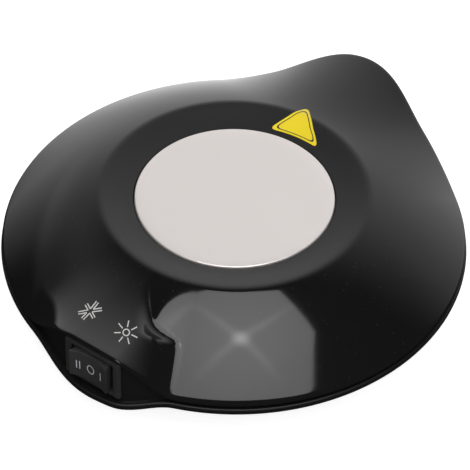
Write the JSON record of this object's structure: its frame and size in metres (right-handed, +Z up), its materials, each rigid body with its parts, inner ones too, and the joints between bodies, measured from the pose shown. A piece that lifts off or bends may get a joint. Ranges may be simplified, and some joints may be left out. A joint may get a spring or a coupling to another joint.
{
  "type": "desktop cup warmer and cooler",
  "caption": "Low round desktop cup warmer and cooler with a metal cup plate, two raised lobes, a rocker switch in front and a supply inlet at the rear.",
  "frame": {"origin": "on the resting surface under the centre of the cup plate", "axes": "+Z up through the cup plate, -Y towards the rocker switch, +Y towards the supply inlet, +X to the right seen from the switch side"},
  "size_m": [0.15, 0.1629, 0.0384],
  "materials": {
    "cover_gloss": "high gloss injection moulding, ring at the centre satin",
    "base_matte": "fine matte texture",
    "plate_metal": "fine satin anodised face",
    "seal_rubber": "soft silicone",
    "sticker": "yellow film with a thin dark inner border, blank",
    "foam": "closed cell foam",
    "thermal_pad": "soft grey pad",
    "ceramic": "white alumina",
    "pellets": "dull semiconductor",
    "lead_jacket": "silicone lead jacket",
    "sink_metal": "extruded",
    "screw_steel": "zinc plated",
    "fan_plastic": "moulded",
    "magnet": "bonded ferrite",
    "shaft_steel": "ground",
    "bronze": "plain",
    "copper": "enamelled copper",
    "circuit_board": "solder mask",
    "switch_plastic": "fine texture",
    "rocker_plastic": "fine texture with white printed position marks",
    "white_plastic": "moulded",
    "jack_plastic": "moulded",
    "capacitor_sleeve": "shrink sleeve",
    "fuse_body": "dipped",
    "foot_rubber": "moulded rubber"
  },
  "bodies": {
    "housing": {"top_cover": "cover_gloss", "base_cover": "base_matte", "cup_plate": "plate_metal", "plate_seal": "seal_rubber", "hazard_sticker": "sticker", "insulation_frame": "foam", "thermal_pad_upper": "thermal_pad", "thermal_pad_lower": "thermal_pad", "tec_upper_ceramic": "ceramic", "tec_lower_ceramic": "ceramic", "tec_pellets": "pellets", "tec_leads": "lead_jacket", "heat_sink": "sink_metal", "sink_screws": "screw_steel", "fan_frame": "fan_plastic", "fan_bearing": "bronze", "fan_stator": "copper", "fan_board": "circuit_board", "fan_leads": "lead_jacket", "fan_screws": "screw_steel", "switch_body": "switch_plastic", "switch_terminals": "bronze", "switch_leads": "lead_jacket", "power_board": "circuit_board", "dc_jack": "jack_plastic", "dc_jack_pin": "shaft_steel", "dc_jack_spring": "bronze", "capacitor": "capacitor_sleeve", "fuse": "fuse_body", "board_connectors": "white_plastic", "board_screws": "screw_steel", "case_screws": "screw_steel", "rubber_feet": "foot_rubber"},
    "rotor": {"fan_rotor": "fan_plastic", "fan_magnet": "magnet", "fan_shaft": "shaft_steel"},
    "rocker": {"switch_rocker": "rocker_plastic", "switch_plungers": "white_plastic", "plunger_springs": "shaft_steel"},
    "bridges": {"contact_bridges": "copper"}
  },
  "joints": [
    {"name": "rocker_tilt", "type": "hinge", "parent": "housing", "child": "rocker", "pos_m": [0.0055, -0.0759, 0.02635], "axis": [0, 0, 1], "range_deg": [-13, 13]},
    {"name": "bridge_tilt", "type": "hinge", "parent": "housing", "child": "bridges", "pos_m": [0.0055, -0.069, 0.02635], "axis": [0, 0, 1], "range_deg": [-9.2, 9.2]},
    {"name": "fan_spin", "type": "hinge", "parent": "housing", "child": "rotor", "pos_m": [0, 0, 0.0105], "axis": [0, 0, 1], "continuous": true}
  ],
  "couplings": [
    {"joint": "bridge_tilt", "follows": "rocker_tilt", "ratio": -0.7}
  ]
}
